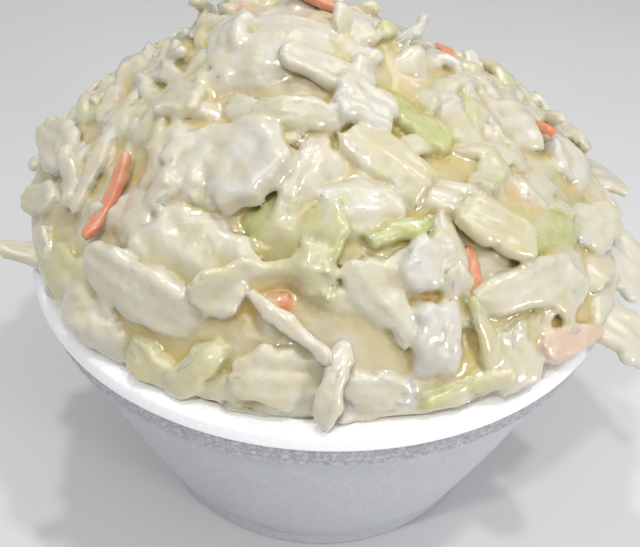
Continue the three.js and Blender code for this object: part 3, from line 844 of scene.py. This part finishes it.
def shred_tint(kind, seed, uv, green):
    u, v = uv[:, 0], uv[:, 1]
    if seed == BLUSHING_PIECE:
        return np.tile(BLUSH, (len(uv), 1))
    if kind == "carrot":
        uneven = CARROT_UNEVEN * ripple(seed, "carrot patches", 2 * u)
        depth = CARROT_RANGE * draw(seed, "carrot") + CARROT_LEAST + uneven
        return lerp(CARROT, CARROT_DEEP, depth[:, None])
    start = TINT_START[kind] + TINT_SPREAD * draw(seed, "tint") + green
    run = TINT_RUN * (draw(seed, "run") - 0.5)
    uneven = TINT_UNEVEN * ripple(seed, "patches", 2 * u + 3 * v)
    return cabbage_tint(start + run * u + uneven + GREEN_EDGE * green * np.abs(v))


print("steps from rib to leaf edge:", len(CABBAGE_RANGE))

# %% [markdown]
# Several hundred small things are made as one joined mesh for each kind, straight from arrays. Every shred
# goes into its kind's list, and at the end each list becomes one piece.

# %% Collect shreds by kind
collected = {}


def add_shred(kind_name, shape, seed, green=0.0, **where):
    points, uv = shred_points(shape, seed)
    tint = shred_tint(shape["kind"], seed, uv, green)
    faces = shred_faces(shape["steps"], shape["across"])
    collected.setdefault(kind_name, []).append((lay(points, **where), faces, np.concatenate([tint, tint])))


def joined(name, parts):
    offset, points, faces, tints = 0, [], [], []
    for part_points, part_faces, part_tint in parts:
        points.append(part_points)
        faces.append(part_faces + offset)
        tints.append(part_tint)
        offset += len(part_points)
    piece = piece_from(name, np.concatenate(points), [], np.concatenate(faces))
    paint(piece, np.concatenate(tints))
    make_outward(piece)
    shade_smooth(piece)
    return piece


def paint(piece, tint):
    layer = piece.data.color_attributes.new(name="tint", type="FLOAT_COLOR", domain="POINT")
    layer.data.foreach_set("color", np.concatenate([tint, np.ones((len(tint), 1))], 1).ravel())


PLACED_GREEN = {
    3: 0.3, 4: 0.1, 11: 0.45, 12: 0.15, 14: 0.25, 15: 0.5, 17: 0.2, 19: 0.1, 21: -0.15,
    22: -0.2, 28: 0.25, 29: 0.3, 36: 0.6, 39: 0.2,
}
WHERE = ("at", "turn", "lean", "roll", "lift", "z")
CRISP = "carrot_shreds"
HANGING = "hanging_cabbage"
LEAF_GRID = {"steps": 18, "across": 12}
STICK_GRID = {"steps": 14, "across": 6}


def add_placed(kind_name, grid, given, seed, green=0.0):
    where = {key: given[key] for key in WHERE if key in given}
    add_shred(kind_name, {**KINDS[given["kind"]], **grid, **given}, seed, green, **where)


for number, given in enumerate(PLACED):
    kind = given["kind"]
    kind_name = CRISP if kind == "carrot" else HANGING if "z" in given else "large_cabbage"
    grid = STICK_GRID if kind == "carrot" else LEAF_GRID
    add_placed(kind_name, grid, given, number, PLACED_GREEN.get(number, 0.0))
print("shreds so far:", {name: len(parts) for name, parts in collected.items()})

# %% [markdown]
# Two slivers of carrot show through gaps between the leaves, so they are listed one by one as well.

# %% Slivers in the gaps
SLIVERS = [put("carrot", (-8, -43.5), 15, 7, 2.6, lift=0.8), put("carrot", (0, -19.5), -20, 8, 2.4, lift=0.6)]
SLIVER_GRID = {"steps": 8, "across": 4}
for number, given in enumerate(SLIVERS):
    add_placed("carrot_bits", SLIVER_GRID, given, len(PLACED) + number)
print("slivers:", len(SLIVERS))

# %% [markdown]
# The rest of the heap is scattered by a rule. Points at the golden angle, spaced over the dome's own surface
# area, cover it evenly without rows. These pieces keep clear of those listed one by one.

# %% Scatter the rest
GOLDEN_ANGLE = math.pi * (3 - math.sqrt(5))
CLEAR_OF_PLACED = 5.2
EDGE_FREE = 0.8
NARROW = 7
NARROW_FREE = -1.6
FIRST_SCATTERED_SEED = 100
KIND_CYCLE = ["strip", "leaf", "strip", "leaf", "chunk", "strip", "leaf", "strip", "carrot", "leaf"]
SCATTERED_SIZES = {
    "leaf": {"long": (12, 20), "wide": (8, 13), "dish": (0.3, 0.9)},
    "strip": {"long": (13, 26), "wide": (4, 7)},
    "chunk": {"long": (8, 12), "wide": (7, 10)},
    "carrot": {"long": (9, 16), "wide": (2.4, 3.2)},
}


def golden_place(i, count, turn=0.0):
    steepness = (2 * HEAP_HEIGHT / HEAP_RADIUS) ** 2
    area = 1 + (i + 0.5) / count * ((1 + steepness) ** 1.5 - 1)
    radius = HEAP_RADIUS * math.sqrt((area ** (2 / 3) - 1) / steepness)
    angle = i * GOLDEN_ANGLE + turn
    return radius * math.cos(angle), radius * math.sin(angle)


def near_placed(at):
    return any(math.dist(p["at"], at) < CLEAR_OF_PLACED for p in PLACED)


def over_placed(at):
    # Whether a place in plan falls within the outline of a listed piece, or close to a narrow one.
    for p in PLACED:
        across, up = at[0] - p["at"][0], at[1] - p["at"][1]
        heading = math.radians(p["turn"])
        along = abs(across * math.cos(heading) + up * math.sin(heading))
        aside = abs(up * math.cos(heading) - across * math.sin(heading))
        free = NARROW_FREE if p["wide"] < NARROW else EDGE_FREE
        if along < 0.5 * p["long"] - free and aside < 0.5 * p["wide"] - free:
            return True
    return False


SCATTERED_PIECES = 66
SCATTERED_GRID = {"steps": 14, "across": 10}
SCATTERED_FORM = {"curl": (0.1, 0.8), "wave": (0, 0.9), "twist": (-0.3, 0.3), "taper": (0, 0.4)}
SCATTERED_POSE = {"turn": (0, 360), "lean": (-10, 16), "roll": (-22, 22), "lift": (0.6, 2.4)}
SCATTERED_GREEN = 0.3
GREEN_SHARE = 0.2
for i in range(SCATTERED_PIECES):
    at = golden_place(i, SCATTERED_PIECES)
    if near_placed(at):
        continue
    seed = FIRST_SCATTERED_SEED + i
    kind = KIND_CYCLE[i % len(KIND_CYCLE)]
    form = drawn(seed, SCATTERED_SIZES[kind] | SCATTERED_FORM)
    shape = {**KINDS[kind], **SCATTERED_GRID, **form, "kind": kind}
    green = SCATTERED_GREEN if draw(seed, "green") < GREEN_SHARE else 0.0
    kind_name = CRISP if kind == "carrot" else "middle_cabbage"
    add_shred(kind_name, shape, seed, green, at=at, **drawn(seed, SCATTERED_POSE))
print("middle-sized pieces:", len(collected["middle_cabbage"]))

# %% [markdown]
# Smaller pieces fill what is left, tucked deeper so that they never hide the large leaves.

# %% Fill what is left
FILLERS = [
    dict(name="cabbage_shreds", kind="strip", count=300, first_seed=400, long=(8, 20), wide=(2.4, 5.2),
         thick=(1.3, 2.1), curl=(-0.2, 1.1), dish=(0, 0.3), wave=(0, 0.7), twist=(-0.7, 0.7), rag=1.2,
         lift=(0.4, 2.6), lean=(-12, 18), green=0.2, grid=(8, 3)),
    dict(name="cabbage_bits", kind="bit", count=230, first_seed=900, long=(5, 9.5), wide=(4, 7),
         thick=(1.6, 3.0), curl=(0, 0.4), dish=(0, 0.3), wave=(0, 0.3), twist=(-0.2, 0.2), rag=1.6,
         lift=(0.2, 2.0), lean=(-20, 24), green=0.12, grid=(4, 3)),
    dict(name="small_leaves", kind="leaf", count=200, first_seed=1400, long=(7, 14), wide=(5, 9),
         thick=(1.0, 1.6), curl=(0, 0.8), dish=(0.2, 0.9), wave=(0.2, 0.8), twist=(-0.3, 0.3), rag=2.2,
         lift=(0.2, 1.8), lean=(-12, 18), green=0.22, grid=(6, 4)),
    dict(name="carrot_bits", kind="carrot", count=26, first_seed=1700, long=(4, 9), wide=(1.2, 2.0),
         thick=(0.9, 1.4), curl=(0, 0.4), dish=(0, 0), wave=(0, 0.2), twist=(-0.2, 0.2), rag=0.2,
         lift=(0.0, 1.5), lean=(-10, 10), green=0.0, grid=(6, 2)),
]
FILLER_GREEN = 0.26
FILLER_TURN = 1.7
FILLER_TAPER = 0, 0.5
FILLER_ROLL = -25, 25
FORM = ("long", "wide", "thick", "curl", "dish", "wave", "twist")
for order, filler in enumerate(FILLERS):
    for i in range(filler["count"]):
        at = golden_place(i, filler["count"], turn=FILLER_TURN * (order + 1))
        if over_placed(at):
            continue
        seed = filler["first_seed"] + i
        shape = drawn(seed, {trait: filler[trait] for trait in FORM} | {"taper": FILLER_TAPER})
        steps, across = filler["grid"]
        shape.update(kind=filler["kind"], rag=filler["rag"], steps=steps, across=across)
        pose = {"turn": (0, 360), "lean": filler["lean"], "roll": FILLER_ROLL, "lift": filler["lift"]}
        green = FILLER_GREEN if draw(seed, "green") < filler["green"] else 0.0
        add_shred(filler["name"], shape, seed, green, at=at, **drawn(seed, pose))
print("shreds in all:", sum(len(parts) for parts in collected.values()))

# %% [markdown]
# The heap stays inside the rim and widens only above it, so a ring of white foam shows all round. Some
# shreds lap over the rim by a millimetre or more, and a few hang out beyond it. Where either would cut into
# the foam, it rests on top of the rim.

# %% Keep the heap clear of the cup
RIM_CLEARANCE = 0.3
RING_SHOWN = 0.4
RING_DEPTH = 0.8
LARGEST_LAP = 3.2
SMALL_LAP = 1.8
LEAST_LAP = 0.8
WIDENING = 1.1


def heap_limit(z):
    # The largest radius for the body of the heap at each height.
    inset = RING_SHOWN * ((z - CUP_HEIGHT) / RING_DEPTH + 1).clip(0, 1)
    return inner_radius(z) - RIM_CLEARANCE - inset + WIDENING * np.maximum(0, z - CUP_HEIGHT)


def tuck_in(points, lap=0.0):
    # A lap lets a shred lie a little way over the rim.
    radius = np.hypot(points[:, 0], points[:, 1])
    limit = heap_limit(points[:, 2]) + np.where(points[:, 2] > CUP_HEIGHT - RING_DEPTH, lap, 0)
    share = np.minimum(1, limit / np.maximum(radius, 1e-6))
    points = points * np.column_stack([share, share, np.ones(len(points))])
    return rest_on_rim(points, CUP_HEIGHT - RING_DEPTH - NUDGE)


def rest_on_rim(points, from_height=0):
    radius = np.hypot(points[:, 0], points[:, 1])
    over = (radius > MOUTH_RADIUS - RIM_CLEARANCE) & (radius < RIM_RADIUS + 2 * RIM_CLEARANCE)
    lowest = np.where(over & (points[:, 2] > from_height), CUP_HEIGHT + RIM_CLEARANCE, 0)
    return np.column_stack([points[:, :2], np.maximum(points[:, 2], lowest)])


for name, parts in collected.items():
    settled = []
    for number, (points, faces, tint) in enumerate(parts):
        lap = spread(number, "lap", LEAST_LAP, LARGEST_LAP if name == "large_cabbage" else SMALL_LAP)
        points = rest_on_rim(points) if name == HANGING else tuck_in(points, lap)
        settled.append((points, faces, tint))
    collected[name] = settled
pieces = {name: joined(name, parts) for name, parts in collected.items()}
for name, piece in pieces.items():
    print(name, len(collected[name]), "shreds,", 2 * len(piece.data.polygons), "triangles")

# %% [markdown]
# Dressing coats the shreds and fills the corners they make. The bare heap and copies of the shreds are
# joined and remeshed into one skin, which is smoothed a little, moved out by the dressing's thickness and
# thinned to fewer faces. Hanging pieces get a skin of their own. The carrot sticks on top stay out of it
# and keep their crisp edges.

# %% Coat of dressing
CORE_SEGMENTS = 120
CORE_RINGS = 44
SUNK_ROWS = 12
SUNK_TOP = 2
VOXEL = 0.52
SMOOTHING_ROUNDS = 2
COAT = 0.27
SKIN_SHARE = 0.42
THICK_AND_THIN = 0.3
FILM_GRAIN = 0.28
RING_CROWDING = 0.85


def heap_core():
    # Closed rings from the floor of the cup up its wall, then over the dome to its top.
    angles = np.linspace(0, 2 * math.pi, CORE_SEGMENTS, endpoint=False)
    circle = np.stack([np.cos(angles), np.sin(angles)], -1)
    low = FLOOR_Z + INNER_CORNER
    rings = [(inner_radius(low) - INNER_CORNER - SLAW_GAP, FLOOR_Z + SLAW_GAP)]
    for i in range(SUNK_ROWS + 1):
        z = lerp(low, CUP_HEIGHT - SUNK_TOP, i / SUNK_ROWS)
        rings.append((inner_radius(z) - SLAW_GAP, z))
    points = [np.column_stack([radius * circle, np.full(CORE_SEGMENTS, z)]) for radius, z in rings]
    for i in range(CORE_RINGS):
        share = (1 - i / CORE_RINGS) ** RING_CROWDING
        points.append(np.array([heap_point(angle, share) for angle in angles]))
    count = len(points)
    points = np.concatenate([*points, [[0, 0, FLOOR_Z + SLAW_GAP]], [heap_point(0.0, 0.0)]])

    def at(i, j):
        return i * CORE_SEGMENTS + j % CORE_SEGMENTS

    faces = []
    for j in range(CORE_SEGMENTS):
        faces.append((count * CORE_SEGMENTS, at(0, j + 1), at(0, j)))
        faces.append((count * CORE_SEGMENTS + 1, at(count - 1, j), at(count - 1, j + 1)))
        faces += [(at(i, j), at(i, j + 1), at(i + 1, j + 1), at(i + 1, j)) for i in range(count - 1)]
    return piece_from("dressing", tuck_in(points, LEAST_LAP), [], faces)


def join_copies(target, sources):
    for source in sources:
        make_active(source)
        bpy.ops.object.duplicate()
        target.select_set(True)
        bpy.context.view_layer.objects.active = target
        bpy.ops.object.join()


def averaged(piece, points, rounds):
    # Moves every point to the middle of its neighbours, again and again.
    edges = np.empty(len(piece.data.edges) * 2, int)
    piece.data.edges.foreach_get("vertices", edges)
    a, b = edges.reshape(-1, 2).T
    count = np.bincount(edges, minlength=len(points))[:, None]
    for _ in range(rounds):
        total = np.zeros_like(points)
        np.add.at(total, a, points[b])
        np.add.at(total, b, points[a])
        points = total / np.maximum(count, 1)
    return points


def normals_of(piece):
    return triples(piece.data.vertex_normals, "vector")


def coat(piece):
    # Turns joined shreds into one skin and lays the dressing on it, thick in places and thin in others.
    for attribute in list(piece.data.color_attributes):
        piece.data.color_attributes.remove(attribute)
    piece.data.remesh_voxel_size = VOXEL * MM
    make_active(piece)
    bpy.ops.object.voxel_remesh()
    set_points(piece, averaged(piece, points_of(piece), SMOOTHING_ROUNDS))
    points = points_of(piece)
    uneven = np.array([noise.noise(Vector(p * FILM_GRAIN)) for p in points])
    return points + normals_of(piece) * (COAT + THICK_AND_THIN * uneven)[:, None]


dressing = heap_core()
make_outward(dressing)
join_copies(dressing, [piece for name, piece in pieces.items() if name not in (CRISP, HANGING)])
set_points(dressing, tuck_in(coat(dressing), LARGEST_LAP + COAT))
apply_modifier(dressing, "fewer_faces", "DECIMATE", ratio=SKIN_SHARE)
film_points = points_of(dressing)
shade_smooth(dressing)
pieces["dressing"] = dressing
hanging = pieces[HANGING]
set_points(hanging, rest_on_rim(coat(hanging)))
shade_smooth(hanging)
print("skin triangles:", triangles(dressing), "and", triangles(hanging))

# %% [markdown]
# Two attributes are stored on the points. `tint` is the shred's own colour: the coat is thin, so it takes
# most of its tint from the few shred points nearest to it. `hollow` tells how far a point lies below the
# smoothed skin; the finish paints shade there, darker and more golden.

# %% Tint and hollow attributes
FILM_SHOWS_SHRED = 0.95
TINT_REACH = 1.5
TINT_NEIGHBOURS = 5
ENVELOPE_ROUNDS = 40
HOLLOW_DEPTH = 1.4

coated = [part for name, parts in collected.items() if name != CRISP for part in parts]
coated_points = np.concatenate([points for points, _, _ in coated])
shred_tints = np.concatenate([tint for _, _, tint in coated])


def tree_of(points):
    tree = KDTree(len(points))
    for row, point in enumerate(points):
        tree.insert(point, row)
    tree.balance()
    return tree


nearest_shred = tree_of(coated_points)
nearest_film = tree_of(film_points)


def film_tint(points):
    found = [nearest_shred.find_n(point, TINT_NEIGHBOURS) for point in points]
    rows = np.array([[index for _, index, _ in near] for near in found])
    distance = np.array([near[0][2] for near in found])
    share = FILM_SHOWS_SHRED * (1 - (distance / TINT_REACH) ** 2).clip(0, 1)
    return lerp(CREAM, shred_tints[rows].mean(axis=1), share[:, None])


paint(dressing, film_tint(film_points))
paint(hanging, film_tint(points_of(hanging)))
envelope = averaged(dressing, film_points, ENVELOPE_ROUNDS)
film_normals = normals_of(dressing)


def store_hollow(piece):
    points = points_of(piece)
    rows_near = [nearest_film.find(point)[1] for point in points]
    depth = ((envelope[rows_near] - points) * film_normals[rows_near]).sum(-1) / HOLLOW_DEPTH
    layer = piece.data.attributes.new("hollow", "FLOAT", "POINT")
    layer.data.foreach_set("value", depth.clip(-1, 1))
    return depth.max()


deepest = {name: round(float(store_hollow(piece)), 2) for name, piece in pieces.items()}
print("deepest hollow of each piece:", deepest)

# %% [markdown]
# Shreds and coat share one wet, slightly translucent finish. A mask of patches decides where a shred shows
# its own tint and where cream lies on it, and also makes the cream a little smoother. One group holds the
# colour work and another the ripples, and each material has its own share of cream.

# %% Dressed cabbage finish
# Painted shade for the hollows, darker and more golden; the streaks take a little of the same colour as a
# tint of their own.
STREAK_GOLD_AND_HOLLOW_SHADE = linear(188, 163, 62)
PATCHES_PER_MM = 0.32
PATCH_RANGE = 0.38, 0.62
STREAKS_PER_MM = 0.3
STREAK_RANGE = 0.35, 0.75
HOLLOW_SHADE_RANGE = 0.0, 0.7
STREAK_GOLD = 0.18
HOLLOW_SHADE_SHARE = 0.8
RIPPLES_PER_MM = 0.5
SWELLS_PER_MM = 0.28
WAVE_HEIGHT = 0.75
WAVE_STRENGTH = 0.6
COVER_ON_CABBAGE = 0.48
COVER_ON_CARROT = 0.45
WET_ROUGHNESS = 0.38, 0.26
COAT_ROUGHNESS = 0.05
GLOW = 0.7
GLOW_REACH = 2.0
GLOW_BY_COLOUR = (1, 0.95, 0.6)


def new_group(name, inputs, outputs):
    group = bpy.data.node_groups.new(name, "ShaderNodeTree")
    for direction, sockets in (("INPUT", inputs), ("OUTPUT", outputs)):
        for socket_name, kind in sockets.items():
            group.interface.new_socket(socket_name, in_out=direction, socket_type="NodeSocket" + kind)
    given = group.nodes.new("NodeGroupInput").outputs
    return group, Nodes(group), given, group.nodes.new("NodeGroupOutput")


def dressed_colour_group():
    group, nodes, given, result = new_group(
        "dressed_colour", {"Where": "Vector", "Cover": "Float"}, {"Colour": "Color", "Cream": "Float"}
    )
    tint = nodes.add("ShaderNodeAttribute", {"attribute_name": "tint"}).outputs["Color"]
    hollow = nodes.add("ShaderNodeAttribute", {"attribute_name": "hollow"}).outputs["Fac"]
    patches = nodes.ramp(nodes.noise(given["Where"], PATCHES_PER_MM, 4.0, 0.6), *PATCH_RANGE)
    cream = nodes.math("MULTIPLY", patches, given["Cover"])
    coated = nodes.mix(cream, tint, (*CREAM, 1))
    streaks = nodes.ramp(nodes.noise(given["Where"], STREAKS_PER_MM), *STREAK_RANGE)
    toned = nodes.mix(streaks, coated, nodes.mix(STREAK_GOLD, coated, STREAK_GOLD_AND_HOLLOW_SHADE))
    # Points that lie below the smoothed skin are painted darker and more golden: painted shade in the
    # hollows.
    deep = nodes.ramp(hollow, *HOLLOW_SHADE_RANGE)
    golden = nodes.mix(HOLLOW_SHADE_SHARE, toned, STREAK_GOLD_AND_HOLLOW_SHADE)
    nodes.feed(result, {"Colour": nodes.mix(deep, toned, golden), "Cream": cream})
    return group


def wet_surface_group():
    # Slow swells with finer ripples on them, as a thick dressing settles.
    group, nodes, given, result = new_group("wet_surface", {"Where": "Vector"}, {"Normal": "Vector"})
    ripples = nodes.noise(given["Where"], RIPPLES_PER_MM, 2.0, 0.45)
    height = nodes.math("MULTIPLY_ADD", ripples, 0.5, nodes.noise(given["Where"], SWELLS_PER_MM, 1.0))
    nodes.feed(result, {"Normal": nodes.bump(height, WAVE_HEIGHT, WAVE_STRENGTH)})
    return group


def dressed_finish(name, cover):
    material, nodes, shader = new_material(name)
    where = nodes.add("ShaderNodeTexCoord").outputs["Object"]
    colour = nodes.add("ShaderNodeGroup", {"node_tree": dressed_colour}, Where=where, Cover=cover)
    wet = nodes.add("ShaderNodeGroup", {"node_tree": wet_surface}, Where=where)
    nodes.feed(shader, {
        "Base Color": colour.outputs["Colour"],
        "Roughness": nodes.ramp(colour.outputs["Cream"], *WET_ROUGHNESS, "To"),
        "Normal": wet.outputs["Normal"],
        "Subsurface Weight": GLOW,
        "Subsurface Scale": GLOW_REACH * MM,
        "Subsurface Radius": GLOW_BY_COLOUR,
        "Coat Weight": 1.0,
        "Coat Roughness": COAT_ROUGHNESS,
    })
    return material


dressed_colour = dressed_colour_group()
wet_surface = wet_surface_group()
cabbage_finish = dressed_finish("dressed_cabbage", COVER_ON_CABBAGE)
carrot_finish = dressed_finish("dressed_carrot", COVER_ON_CARROT)
for name, piece in pieces.items():
    give(piece, carrot_finish if name.startswith("carrot") else cabbage_finish)
print("finishes:", cabbage_finish.name, carrot_finish.name)

# %% [markdown]
# Every piece of the heap rides with the cup, and the coat takes the place of the plain heap. The dressed
# model may not outgrow the plain one.

for piece in pieces.values():
    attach(piece, "root")
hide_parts("coleslaw")
